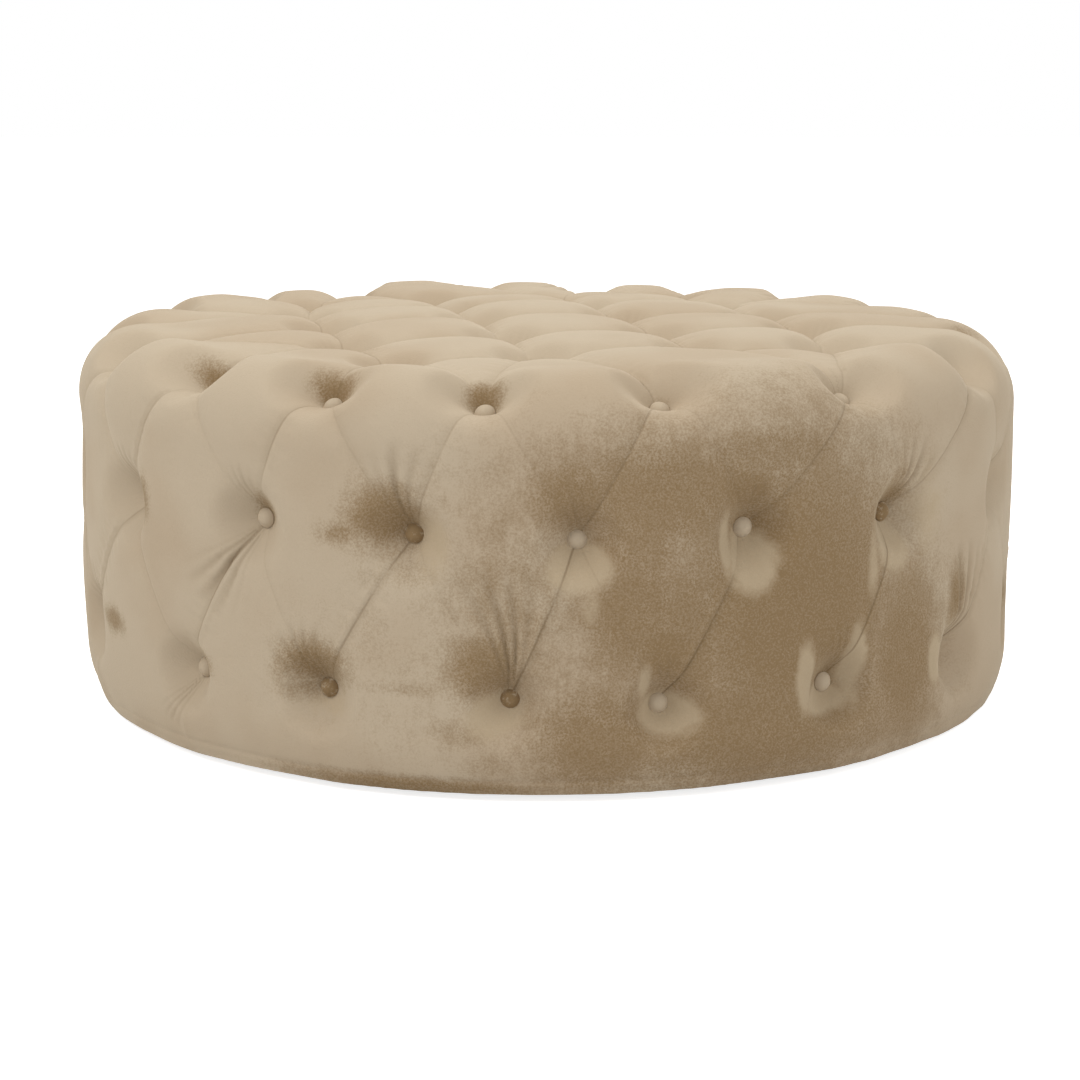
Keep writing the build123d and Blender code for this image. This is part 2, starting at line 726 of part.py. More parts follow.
def make_underside():
    """Dust cover, staples, glides and their nails."""
    with BuildPart() as dust_cover:
        with BuildSketch(Plane.XY.offset(glide_height)):
            Circle(dust_cover_radius)
        extrude(amount=dust_cover_thickness)
        add(underside, mode=Mode.SUBTRACT)
    save(dust_cover, "dust_cover")

    with BuildPart() as staple:
        Box(staple_crown, staple_wire, staple_leg, align=(Align.CENTER, Align.CENTER, Align.MIN))
        with Locations((0, 0, staple_wire)):
            Box(staple_crown - 2 * staple_wire, 2 * staple_wire, staple_leg,
                align=(Align.CENTER, Align.CENTER, Align.MIN), mode=Mode.SUBTRACT)
    for name, level, count, radius in (
            ("cover_staples", hem_level, cover_staples, cover_staple_circle_radius),
            ("dust_cover_staples", glide_height - staple_wire, dust_staples, dust_staple_circle_radius)):
        with BuildPart() as ring:
            with Locations(*[place.offset(level) for place in staple_places(count, radius)]):
                add(staple.part)
        save(ring, name)

    for number, place in enumerate(glide_places(), start=1):
        with BuildPart() as glide:
            with BuildSketch(Plane.XY.offset(glide_height)):
                with Locations((place.X, place.Y)):
                    Circle(glide_diameter / 2)
            with BuildSketch(Plane.XY):
                with Locations((place.X, place.Y)):
                    Circle(glide_foot_diameter / 2)
            loft()
            with Locations(place):
                Cylinder(glide_nail_head_diameter / 2 + screw_clearance, 2 * glide_nail_head_depth,
                         align=(Align.CENTER, Align.CENTER, Align.MIN), mode=Mode.SUBTRACT)
                Cylinder(glide_nail_diameter / 2 + screw_clearance, glide_height,
                         align=(Align.CENTER, Align.CENTER, Align.MIN), mode=Mode.SUBTRACT)
        save(glide, "glide_" + str(number))

    with BuildPart() as nails:
        with Locations(*[place + Vector(0, 0, glide_nail_head_depth) for place in glide_places()]):
            Cylinder(glide_nail_head_diameter / 2, glide_nail_head_depth,
                     align=(Align.CENTER, Align.CENTER, Align.MIN))
            Cylinder(glide_nail_diameter / 2, glide_nail_length - glide_nail_head_depth,
                     align=(Align.CENTER, Align.CENTER, Align.MIN))
    save(nails, "glide_nails")


os.makedirs("parts", exist_ok=True)
underside = underside_cuts()
make_drum()
make_screws()
make_padding()
make_velvet_cover(underside)
make_buttons()
make_ties()
make_underside()
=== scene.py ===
# %% [markdown]
# A large round pouf, deep buttoned all over in tan velvet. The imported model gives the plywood
# drum, the ties, the buttons and the glides at their real places. This lesson dresses them:
# it makes the velvet cover as one soft, full mesh pulled down at every button, and gives each
# piece a finish made of nodes. All sizes are in metres, and angles in tables are in degrees.

# %% Load the frame
import bmesh
import bpy
import json
import numpy as np
from math import cos, pi, radians, sin
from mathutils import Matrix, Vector


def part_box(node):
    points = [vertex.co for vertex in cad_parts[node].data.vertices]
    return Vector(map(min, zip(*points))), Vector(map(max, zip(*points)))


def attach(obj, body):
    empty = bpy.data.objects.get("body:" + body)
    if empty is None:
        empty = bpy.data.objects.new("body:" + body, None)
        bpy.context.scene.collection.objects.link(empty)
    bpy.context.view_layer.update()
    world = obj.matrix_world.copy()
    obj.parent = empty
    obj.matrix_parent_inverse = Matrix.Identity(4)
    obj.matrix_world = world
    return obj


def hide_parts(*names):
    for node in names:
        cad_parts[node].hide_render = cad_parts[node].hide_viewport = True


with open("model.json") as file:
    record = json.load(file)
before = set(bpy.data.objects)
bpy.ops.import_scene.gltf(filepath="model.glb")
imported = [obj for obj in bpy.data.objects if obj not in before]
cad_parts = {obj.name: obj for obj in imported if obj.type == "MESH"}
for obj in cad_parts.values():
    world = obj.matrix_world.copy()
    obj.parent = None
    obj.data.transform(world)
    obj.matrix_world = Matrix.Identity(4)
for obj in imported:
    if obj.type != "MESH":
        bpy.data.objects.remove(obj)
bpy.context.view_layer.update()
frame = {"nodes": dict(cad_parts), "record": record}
bpy.ops.object.select_all(action="DESELECT")

# %% [markdown]
# The cover's puffs all stand up to one smooth shape, here called the crown line: a nearly
# upright side, a round top edge and a slightly domed top. It is turned about the Z axis. Every
# point near the cover can be written as an angle from the front and a travel up that line, so
# the tufting can be worked out as a depth below it. A sculpted cover would do as well, but a
# depth worked out in numbers keeps every pleat on its real buttons.

# %% Sizes of the crown line
pouf_radius = 0.533
hem_radius = 0.521
rim_height = 0.407
centre_rise = 0.011
rim_rounding = 0.080
hem_rounding = 0.053
pad_radius = 0.428
hem_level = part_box("velvet_cover")[0].z
side_length = rim_height - rim_rounding
rim_centre_radius = pouf_radius - rim_rounding
rim_centre_height = hem_level + side_length
edge_travel = side_length + rim_rounding * pi / 2
print("travel up the side", round(side_length, 3), "and on to the top", round(edge_travel, 3))

# %% Read a place on the crown line
side_reach = 0.2


def wrapped(angle):
    """The same angle within half a turn of zero."""
    return (angle + pi) % (2 * pi) - pi


def angle_of(points):
    """Angle of each point from the front, about the Z axis."""
    return np.arctan2(points[..., 0], -points[..., 1])


def hem_undercut(travel):
    """How far the side draws in towards the hem."""
    return (pouf_radius - hem_radius) * np.clip(1 - travel / hem_rounding, 0, None) ** 2


def crown_place(points):
    """Travel up the crown line, angle from the front, and place and outward normal there."""
    radius = np.hypot(points[:, 0], points[:, 1])
    height = points[:, 2]
    angle = angle_of(points)
    out = radius - rim_centre_radius
    up = height - rim_centre_height
    zones = [(up <= 0) & (out > -side_reach), (up > 0) & (out > 0)]
    turn = np.select(zones, [0.0, np.arctan2(up, out)], pi / 2)
    travel = np.select(zones, [np.clip(height - hem_level, 0, None), side_length + rim_rounding * turn],
                       edge_travel - out)
    dome = centre_rise * np.clip(1 - (radius / pad_radius) ** 2, 0, None)
    crown_radius = np.select(zones, [pouf_radius - hem_undercut(travel),
                                     rim_centre_radius + rim_rounding * np.cos(turn)], radius)
    crown_height = np.select(zones, [hem_level + travel, rim_centre_height + rim_rounding * np.sin(turn)],
                             hem_level + rim_height + dome)
    unit_x, unit_y = np.sin(angle), -np.cos(angle)
    places = np.stack([crown_radius * unit_x, crown_radius * unit_y, crown_height], 1)
    normals = np.stack([np.cos(turn) * unit_x, np.cos(turn) * unit_y, np.sin(turn)], 1)
    return travel, angle, places, normals


def crown_at(travel, angle):
    """Points on the crown line at these travels up the side or round the edge, and angles."""
    turn = np.clip((travel - side_length) / rim_rounding, 0, pi / 2)
    radius = rim_centre_radius + rim_rounding * np.cos(turn)
    height = np.where(travel < side_length, hem_level + travel,
                      rim_centre_height + rim_rounding * np.sin(turn))
    return crown_place(np.stack([radius * np.sin(angle), -radius * np.cos(angle), height], 1))[2]


middle_of_top = crown_place(np.array([[0.0, 0.0, rim_height]]))[2][0]
print("middle of the top", [round(float(v), 3) for v in middle_of_top])

# %% [markdown]
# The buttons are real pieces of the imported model, so their places are read from it and not
# measured again. A node holds a whole row of caps, and caps lie far apart, so every vertex
# within a cap's width of the first one left belongs to the same cap.

# %% Find the buttons
cap_reach = 0.025


def points_of(piece):
    """Vertices of a piece as rows of an array."""
    points = np.empty(len(piece.data.vertices) * 3)
    piece.data.vertices.foreach_get("co", points)
    return points.reshape(-1, 3)


def cap_centres(node):
    """Centre of each separate cap in a node."""
    points = points_of(frame["nodes"][node])
    centres = []
    while len(points):
        near = np.linalg.norm(points - points[0], axis=1) < cap_reach
        centres.append((points[near].min(0) + points[near].max(0)) / 2)
        points = points[~near]
    return np.array(centres)


def by_angle(centres):
    """The same centres in order of their angle from the front."""
    return centres[np.argsort(angle_of(centres))]


button_nodes = ("top_buttons", "rim_buttons", "upper_side_buttons", "lower_side_buttons")
top_caps = cap_centres("top_buttons")
rim_caps, upper_caps, lower_caps = [by_angle(cap_centres(name)) for name in button_nodes[1:]]
caps = np.concatenate([top_caps, rim_caps, upper_caps, lower_caps])
print("buttons", len(top_caps), len(rim_caps), len(upper_caps), len(lower_caps))

# %% [markdown]
# Pleats are the folds that an upholsterer lays from button to button to take up the spare
# cloth. Here a pleat is a chain of points on the crown line with a depth at each: as deep as
# the cloth under the caps at its ends and much shallower between. It could be a curve object,
# but plain arrays are quicker to measure from half a million vertices.

# %% Draw one pleat
cap_sunk = 0.0008
pleat_steps = 15
pleat_flatness = 3.5


def seat_depth(cap):
    """Depth of the cloth under a cap."""
    place, normal = [rows[0] for rows in crown_place(cap[None])[2:]]
    return (place - cap) @ normal + cap_sunk


def pleat(start, end, middle_depth, mark, end_depth=None):
    """Points of one pleat on the crown line, their depths, and how sharply it is marked."""
    share = np.linspace(0, 1, pleat_steps)
    travels, angles = crown_place(np.array([start, end]))[:2]
    if travels.max() < edge_travel:
        turn = wrapped(angles[1] - angles[0])
        points = crown_at(travels[0] + (travels[1] - travels[0]) * share, angles[0] + turn * share)
    else:
        points = crown_place(start + (end - start) * share[:, None])[2]
    fall = np.abs(2 * share - 1) ** pleat_flatness
    last_depth = seat_depth(end) if end_depth is None else end_depth
    ends = np.where(share < 0.5, seat_depth(start), last_depth)
    return points, middle_depth + (ends - middle_depth) * fall, mark


cap_depths = np.array([seat_depth(cap) for cap in caps])
print("cloth under the caps", round(float(cap_depths.min()), 4), "to", round(float(cap_depths.max()), 4))

# %% [markdown]
# On the side the pleats make tall diamonds, and one upright pleat goes from each lowest button
# to the hem. The photograph shows the pleats that rise to the right as clear lines and the
# others as hardly more than a hint, so each kind has its own mark.

# %% Lay the pleats of the side
pleat_depth_side = 0.0026
pleat_depth_low = 0.0006
hem_pleat_depth = 0.0002
faint_mark = 0.16
rim_mark = 0.50
strong_mark = 0.85


def neighbours(cap, row):
    """The two buttons of another row on either side of a button."""
    angles = wrapped(angle_of(row) - angle_of(cap))
    left = row[np.where(angles <= 0, angles, -np.inf).argmax()]
    right = row[np.where(angles > 0, angles, np.inf).argmin()]
    return left, right


pleats = []
for cap in upper_caps:
    for row, marks in ((rim_caps, (faint_mark, rim_mark)), (lower_caps, (strong_mark, faint_mark))):
        for other, mark in zip(neighbours(cap, row), marks):
            pleats.append(pleat(cap, other, pleat_depth_side, mark))
for cap in lower_caps:
    foot = np.array([cap[0], cap[1], hem_level])
    pleats.append(pleat(cap, foot, pleat_depth_low, 0, hem_pleat_depth))
print("pleats of the side", len(pleats))

# %% [markdown]
# On the top the buttons make near squares, and a short pleat joins each button of the top edge
# to the nearest outer button of the top. Neighbours are found by their distance, so nothing
# has to be numbered by hand.

# %% Lay the pleats of the top
pleat_depth_top = 0.016
pleat_depth_rim = 0.011
top_mark = 0.35
lattice_reach = 0.190
full_neighbours = 4

spans = np.linalg.norm(top_caps[:, None] - top_caps[None], axis=2)
joined = (spans < lattice_reach) & (spans > 0)
for first, second in zip(*np.nonzero(np.triu(joined))):
    pleats.append(pleat(top_caps[first], top_caps[second], pleat_depth_top, top_mark))
outer = np.nonzero(joined.sum(1) < full_neighbours)[0]
to_rim = np.linalg.norm(top_caps[outer][:, None] - rim_caps[None], axis=2)
pairs = {(int(outer[to_rim[:, k].argmin()]), k) for k in range(len(rim_caps))}
pairs |= {(int(outer[i]), int(to_rim[i].argmin())) for i in range(len(outer))}
for first, second in sorted(pairs):
    pleats.append(pleat(top_caps[first], rim_caps[second], pleat_depth_rim, top_mark))
print("pleats in all", len(pleats))

# %% [markdown]
# The cover starts as a plain turned body. A spin of an outline would give faces that get
# narrow towards the middle of the top, so a voxel remesh then gives it even quads about half a
# centimetre wide, which a later subdivision halves. Its underside is opened inside the turned
# hem, where the black dust cover closes the real pouf.

# %% Turn the plain body
turned_segments = 160
side_rings = 24
edge_rings = 12


def turned_body(name):
    """A closed body of the crown line's shape."""
    travels = np.concatenate([np.linspace(0, side_length, side_rings),
                              np.linspace(side_length, edge_travel, edge_rings)[1:]])
    turn = np.clip((travels - side_length) / rim_rounding, 0, None)
    radii = rim_centre_radius + rim_rounding * np.cos(turn) - hem_undercut(travels)
    heights = np.where(travels < side_length, hem_level + travels,
                       rim_centre_height + rim_rounding * np.sin(turn))
    around = np.linspace(0, 2 * pi, turned_segments, endpoint=False)
    corners = [(r * cos(a), r * sin(a), z) for r, z in zip(radii, heights) for a in around]
    steps = range(turned_segments)
    faces = []
    for low in range(0, len(corners) - turned_segments, turned_segments):
        high = low + turned_segments
        for step in steps:
            after = (step + 1) % turned_segments
            faces.append((low + step, low + after, high + after, high + step))
    faces.append(tuple(steps)[::-1])
    faces.append(tuple(range(len(corners) - turned_segments, len(corners))))
    mesh = bpy.data.meshes.new(name)
    mesh.from_pydata(corners, [], faces)
    body = bpy.data.objects.new(name, mesh)
    bpy.context.scene.collection.objects.link(body)
    return body


cover = turned_body("velvet_tufting")
print("turned body", len(cover.data.polygons), "faces")

# %% Remesh it and open it below
voxel = 0.005
flange_radius = 0.474


def apply_modifier(piece, kind, **settings):
    """Add a modifier with these settings and apply it."""
    modifier = piece.modifiers.new(kind.lower(), kind)
    for name, value in settings.items():
        setattr(modifier, name, value)
    with bpy.context.temp_override(object=piece, active_object=piece, selected_objects=[piece]):
        bpy.ops.object.modifier_apply(modifier=modifier.name)


def below_hem(points, radius):
    """Which points of the flat underside lie within this radius."""
    return (points[:, 2] < hem_level + voxel / 2) & (np.hypot(points[:, 0], points[:, 1]) < radius)


apply_modifier(cover, "REMESH", mode="VOXEL", voxel_size=voxel)
bpy.context.view_layer.objects.active = cover
for element in (cover.data.polygons, cover.data.edges):
    element.foreach_set("select", np.zeros(len(element), bool))
cover.data.vertices.foreach_set("select", below_hem(points_of(cover), flange_radius))
bpy.ops.object.mode_set(mode="EDIT")
bpy.ops.mesh.select_mode(type="VERT")
bpy.ops.mesh.delete(type="VERT")
bpy.ops.object.mode_set(mode="OBJECT")
print("plain body", len(cover.data.vertices), "vertices")

# %% [markdown]
# Cloth over full padding behaves like a skin under pressure that is held down along its
# pleats. A cloth simulation could find that shape too, but for a cover this wide with 74 ties
# it would be slow, and its folds would fall where they like. Two simple fields describe it
# here: one spreads the pleats' depth smoothly over the puffs between, and one swells from zero
# at the pleats to most in the middle of each puff. First every vertex has to know how far the
# nearest pleat is, how deep, how far along and on which side.

# %% Measure from the pleats
out_of_reach = 9.0


def nearest_on_pleats(points, reach):
    """For points near pleats: distance, depth and travel along the pleat, side of it, and its number."""
    distance = np.full(len(points), out_of_reach)
    depth, along, side = np.zeros((3, len(points)))
    number = np.zeros(len(points), int)
    places, normals = crown_place(points)[2:]
    for index, (chain, depths, _) in enumerate(pleats):
        low, high = chain.min(0) - reach, chain.max(0) + reach
        near = np.nonzero(((places > low) & (places < high)).all(1))[0]
        run = 0.0
        for start, end, first, last in zip(chain, chain[1:], depths, depths[1:]):
            step = end - start
            length = np.linalg.norm(step)
            offset = places[near] - start
            share = np.clip(offset @ step / length ** 2, 0, 1)
            away = offset - share[:, None] * step
            gap = np.linalg.norm(away, axis=1)
            closer = gap < distance[near]
            chosen = near[closer]
            distance[chosen] = gap[closer]
            depth[chosen] = first + (last - first) * share[closer]
            along[chosen] = run + length * share[closer]
            number[chosen] = index
            sideways = np.cross(normals[chosen], step / length)
            side[chosen] = np.sign((away[closer] * sideways).sum(1))
            run += length
    return distance, depth, along, side, number


coarse_distance = nearest_on_pleats(points_of(cover), voxel)[0]
print("vertices close to a pleat", int((coarse_distance < voxel).sum()))

# %% [markdown]
# Each field is found by letting every vertex settle to the mean of its neighbours, while the
# vertices on a pleat and at the hem are held. On the coarse mesh this takes many rounds, and
# after a subdivision it is only smoothed a little more. A share of each vertex's last step is
# taken again, because that settles in far fewer rounds.

# %% Settle the puffs
coarse_hold = 0.0042
coarse_rounds = 420
fine_hold = 0.0022
fine_rounds = 110
settle_reach = 0.02
carry = 0.465
hem_hold = 0.001


def settle(piece, swell, spread, hold, rounds, pressure):
    """Let both fields settle, held along the pleats and the hem."""
    points = points_of(piece)
    distance, depth = nearest_on_pleats(points, settle_reach)[:2]
    on_hem = below_hem(points, hem_radius - voxel) | (crown_place(points)[0] < hem_hold)
    free = (distance >= hold) & ~on_hem
    swell = np.where(free, swell, 0)
    spread = np.where(free, spread, np.where(distance < hold, depth, hem_pleat_depth))
    edges = np.empty(len(piece.data.edges) * 2, np.int64)
    piece.data.edges.foreach_get("vertices", edges)
    edges = edges.reshape(-1, 2)
    here = np.concatenate([edges[:, 0], edges[:, 1]])
    there = np.concatenate([edges[:, 1], edges[:, 0]])
    degree = np.bincount(here, minlength=len(points))
    now, before = [swell, spread], [swell, spread]
    for _ in range(rounds):
        for index, push in enumerate((pressure, 0.0)):
            mean = np.bincount(here, now[index][there], len(points)) / degree + push
            moved = mean + carry * (now[index] - before[index])
            before[index], now[index] = now[index], np.where(free, moved, now[index])
    return now


def store(piece, name, values):
    """Keep one number at each vertex."""
    layer = piece.data.attributes.get(name) or piece.data.attributes.new(name, "FLOAT", "POINT")
    layer.data.foreach_set("value", values.astype(np.float32))


def recall(piece, name):
    """Read the numbers kept at the vertices."""
    values = np.empty(len(piece.data.vertices), np.float32)
    piece.data.attributes[name].data.foreach_get("value", values)
    return values.astype(float)


count = len(cover.data.vertices)
start_depth = np.full(count, pleat_depth_side)
fields = settle(cover, np.zeros(count), start_depth, coarse_hold, coarse_rounds, voxel ** 2)
for name, field in zip(("swell", "spread"), fields):
    store(cover, name, field)
apply_modifier(cover, "SUBSURF", subdivision_type="SIMPLE", levels=1, render_levels=1)
swell, spread = settle(cover, recall(cover, "swell"), recall(cover, "spread"), fine_hold, fine_rounds,
                       (voxel / 2) ** 2)
print("fine body", len(cover.data.vertices), "vertices, most swell", round(float(swell.max()), 5))

# %% [markdown]
# Now the fields become a depth below the crown line. A puff rises steeply from its pleats and
# flattens at its crown, as full padding does. The fill is never quite even, so slow waves lift
# and lower whole puffs, and the puffs round the top edge stand a little proud, on the left more
# than on the right.

# %% Fill the puffs
fullness = 1.5
steepness = 0.85
crown_percentile = 82
unevenness = 0.0030
uneven_length = 0.34
edge_fullness = 0.0085
edge_middle = 0.5
edge_width = 1.7
edge_margin = 0.35
left_share = 0.45
shape_reach = 0.03
wave_count = 10
wave_scale = 3.2


def slow_field(points, length, seed):
    """Smooth random values between about -1 and 1 that change over this length."""
    draw = np.random.default_rng(seed)
    waves = draw.normal(size=(wave_count, 3))
    waves *= (2 * pi / length) / np.linalg.norm(waves, axis=1)[:, None]
    phases = draw.uniform(0, 2 * pi, wave_count)
    return np.sin(points @ waves.T + phases).sum(1) / wave_scale


points = points_of(cover)
travel, angle, places, normals = crown_place(points)
under = below_hem(points, hem_radius - voxel)
distance, _, along, side, number = nearest_on_pleats(points, shape_reach)
puffed = np.tanh(fullness * (np.clip(swell, 0, None) / np.percentile(swell, crown_percentile)) ** steepness)
offset = -spread * (1 - puffed) + unevenness * slow_field(places, uneven_length, seed=3) * puffed
turn_share = (travel - side_length) / (edge_travel - side_length)
turn_share = np.clip(turn_share, -edge_margin, 1 + edge_margin)
edge_swell = np.clip(np.cos(pi * (turn_share - edge_middle) / edge_width), 0, 1) ** 2
fuller_left = 1 - left_share * (1 + np.sin(angle))
offset += edge_fullness * fuller_left * puffed * edge_swell
print("puffs from", round(float(offset.min()), 4), "to", round(float(offset.max()), 4))

# %% [markdown]
# Where cloth folds over itself along a pleat it leaves a lip on one side, and small ripples
# beside it. Both could be modelled as separate strips, but on a soft cover they only show as
# light and shade, so they are added to the same depth.

# %% Mark the pleats
lip_height = 0.0020
lip_place = 0.0040
lip_width = 0.0034
lip_start = 0.003
ripple_height = 0.0008
ripple_place = 0.011
ripple_width = 0.009
ripple_length = 0.017
ripple_shifts = (2.4, 1.1)

mark = np.array([one[2] for one in pleats])[number]
lip_side = np.where(np.random.default_rng(5).random(len(pleats)) < 0.5, -1.0, 1.0)[number]
lip = lip_height * np.exp(-((distance - lip_place) / lip_width) ** 2) * (side == lip_side)
offset += lip * mark * np.clip(distance / lip_start, 0, 1)
beat = (np.sin(2 * pi * along / ripple_length + number * ripple_shifts[0])
        * np.sin(2 * pi * along / (3 * ripple_length) + number * ripple_shifts[1]))
offset += ripple_height * mark * beat * np.exp(-((distance - ripple_place) / ripple_width) ** 2)
print("lips up to", round(float((lip * mark).max()), 4))

# %% [markdown]
# From a button the cloth runs out in narrow gathers that fan over the puff. The photograph
# shows where they lie at the front, so those fans are written down one by one. The other
# buttons get fans of the same kind, drawn at random from a fixed seed, so that each run
# gives the same cover.

# %% List the fans
seen_angle = 68.0
top_fan_spread = 45
top_fan_height = 0.0018
# Angle and travel of the button, heading from upright, half spread, length and height
seen_fans = (
    (-14, 0.255, -14, 16, 0.095, 0.0060), (-24, 0.105, -28, 34, 0.075, 0.0040),
    (-4, 0.105, 8, 20, 0.135, 0.0065), (-33, 0.255, -155, 18, 0.110, 0.0060),
    (-33, 0.255, -18, 16, 0.060, 0.0040), (39, 0.257, 28, 24, 0.085, 0.0060),
    (49, 0.115, 18, 18, 0.125, 0.0065), (3, 0.255, 0, 30, 0.062, 0.0032),
    (22, 0.255, 5, 26, 0.060, 0.0026), (31, 0.105, 8, 26, 0.075, 0.0026),
    (-50, 0.255, -12, 26, 0.060, 0.0040), (-60, 0.113, -22, 30, 0.056, 0.0035),
    (-41, 0.097, -160, 18, 0.062, 0.0045), (11, 0.100, 0, 24, 0.060, 0.0024),
    (-42, 0.395, -20, 34, 0.042, 0.0035), (-24, 0.385, -10, 30, 0.040, 0.0035),
    (-7, 0.380, 0, 22, 0.040, 0.0030))
rng = np.random.default_rng(11)


def all_fans():
    """Every fan of gathers: the seen ones and, for the other buttons, ones of the same kind."""
    fans = list(seen_fans)
    travels, angles = crown_place(caps)[:2]
    for cap_travel, cap_angle in zip(travels, np.degrees(angles)):
        if cap_travel > edge_travel:
            fans.append((cap_angle, cap_travel, rng.uniform(-180, 180), top_fan_spread,
                         rng.uniform(0.040, 0.060), top_fan_height))
        elif abs(cap_angle) > seen_angle:
            heading = rng.normal() * 25 + 180 * (rng.random() < 0.2)
            fans.append((cap_angle, cap_travel, heading, rng.uniform(15, 30),
                         rng.uniform(0.055, 0.120), rng.uniform(0.0025, 0.0060)))
    return fans


fans = all_fans()
print("fans of gathers", len(fans), "of them seen", len(seen_fans))

# %% Gather the cloth
fan_spacing = 0.23
fan_bend = 2.0
fan_start = 0.016
fan_fade = 0.7
fold_sharpness = 1.4
fold_wander = 1.2
wander_waves = 5
flat_limit = 0.05


def across_and_up(normal):
    """Two directions square to a normal: one level, and one that climbs the cover."""
    level = np.array([-normal[1], normal[0], 0.0])
    length = np.linalg.norm(level)
    level = level / length if length > flat_limit else np.array([1.0, 0.0, 0.0])
    return level, np.cross(normal, level)


def gathers():
    """Depth of the narrow folds that fan out from the buttons."""
    total = np.zeros(len(places))
    travels, angles, centres, cap_normals = crown_place(caps)
    for fan_angle, fan_travel, heading, half_spread, length, height in fans:
        turn = wrapped(angles - radians(fan_angle))
        nearest = np.hypot(turn * pouf_radius, travels - fan_travel).argmin()
        level, up = across_and_up(cap_normals[nearest])
        from_cap = places - centres[nearest]
        near = np.nonzero(np.linalg.norm(from_cap, axis=1) < length)[0]
        first, second = from_cap[near] @ level, from_cap[near] @ up
        reach = np.hypot(first, second)
        bend = fan_bend if heading >= 0 else -fan_bend
        apart = wrapped(np.arctan2(first, second) - radians(heading) + bend * reach)
        spacing = fan_spacing * rng.uniform(0.85, 1.15)
        phase, wander_phase = rng.uniform(0, 2 * pi), rng.uniform(0, 6)
        wander = fold_wander * np.sin(wander_waves * apart + wander_phase)
        folds = 0.5 + 0.5 * np.cos(2 * pi * apart / spacing + phase + wander)
        envelope = np.exp(-(apart / radians(half_spread)) ** 2)
        fade = np.clip(reach / fan_start, 0, 1) * np.clip(1 - reach / length, 0, 1) ** fan_fade
        total[near] -= height * folds ** fold_sharpness * envelope * fade
    return total


folded = gathers()
offset += folded
print("deepest gather", round(float(folded.min()), 4))

# %% [markdown]
# Each button pulls the cloth down into a dimple: a small flat seat under the cap with a slope
# round it that runs into the puffs. The slope is a cone, and a soft minimum of the cone and the
# depth so far joins the two without an edge.

# %% Sink the buttons
well_radius = 0.0102
well_slope = 0.95
well_blend = 0.0030
well_reach = 0.075


def sink(centre, cap_depth):
    """Pull the cloth down round one button."""
    away = np.linalg.norm(places - centre, axis=1)
    near = away < well_reach
    cone = -cap_depth + well_slope * np.clip(away[near] - well_radius, 0, None)
    offset[near] = -well_blend * np.logaddexp(-offset[near] / well_blend, -cone / well_blend)
    offset[away < well_radius] = -cap_depth


for centre, cap_depth in zip(crown_place(caps)[2], cap_depths):
    sink(centre, cap_depth)
print("deepest dimple", round(float(offset.min()), 4))

# %% [markdown]
# At the foot the velvet is turned under and stapled. That leaves a shallow fold line above the
# hem, a hem that waves a little, and a flat flange below it. One pass of the Smooth modifier
# then takes off the last steps of the voxel grid.

# %% Turn the hem and shape the mesh
hem_fold_travel = 0.014
hem_fold_depth = 0.0011
hem_fold_width = 0.0025
hem_band = 0.05
hem_ripple = 0.0005
hem_ripple_length = 0.05
hem_wave = 0.0011
hem_wave_length = 0.16
flange_lift = 0.0001
crease_reach = 0.012
full_fold = 0.004

low = np.clip(1 - travel / hem_band, 0, 1)
offset -= hem_fold_depth * np.exp(-((travel - hem_fold_travel) / hem_fold_width) ** 2) * ~under
offset += hem_ripple * low * slow_field(places, hem_ripple_length, seed=8) * ~under
shaped = places + normals * offset[:, None]
shaped[:, 2] += hem_wave * slow_field(places * (1, 1, 0), hem_wave_length, seed=21) * low * ~under
shaped[under] = points[under] * (1, 1, 0) + (0, 0, hem_level + flange_lift)
cover.data.vertices.foreach_set("co", shaped.ravel())
cover.data.update()
cover.data.polygons.foreach_set("use_smooth", np.ones(len(cover.data.polygons), bool))
apply_modifier(cover, "SMOOTH", factor=0.5, iterations=1)
# across, crease and folded steer the crease lines and the painted shade of creases and gathers in the
# velvet.
store(cover, "across", np.clip(distance, 0, crease_reach) * side * lip_side)
store(cover, "crease", ((distance < crease_reach) & ~under) * mark)
store(cover, "folded", np.clip(-folded / full_fold, 0, 1))
for name in ("swell", "spread"):
    cover.data.attributes.remove(cover.data.attributes[name])
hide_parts("velvet_cover")
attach(cover, "root")
print("cover", len(cover.data.polygons), "faces")
